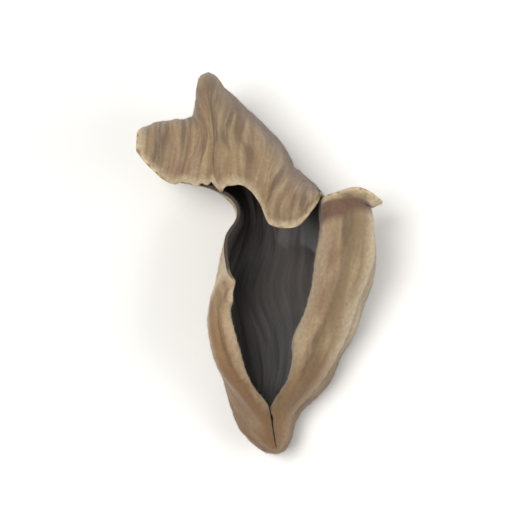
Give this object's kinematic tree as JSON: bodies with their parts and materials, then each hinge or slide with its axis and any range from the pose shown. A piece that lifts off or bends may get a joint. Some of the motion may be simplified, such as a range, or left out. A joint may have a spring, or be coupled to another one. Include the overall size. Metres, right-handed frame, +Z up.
{
  "type": "wood ear mushroom",
  "caption": "Dried wood ear mushroom: one leathery sheet curled into a pointed pod, felted tan outside, smooth and nearly black inside, with a hooded mouth.",
  "frame": {"origin": "centre of the piece in plan, on the surface it lies on", "axes": "+Y along the piece from its pointed stub to its folded far margin, +Z up out of its mouth, +X towards the lobe with the flared lip"},
  "size_m": [0.023, 0.0362, 0.0121],
  "materials": {
    "fruit_body": "matte felt outside, satin near-black skin inside"
  },
  "bodies": {
    "root": {"fruit_body": "fruit_body"}
  },
  "joints": []
}
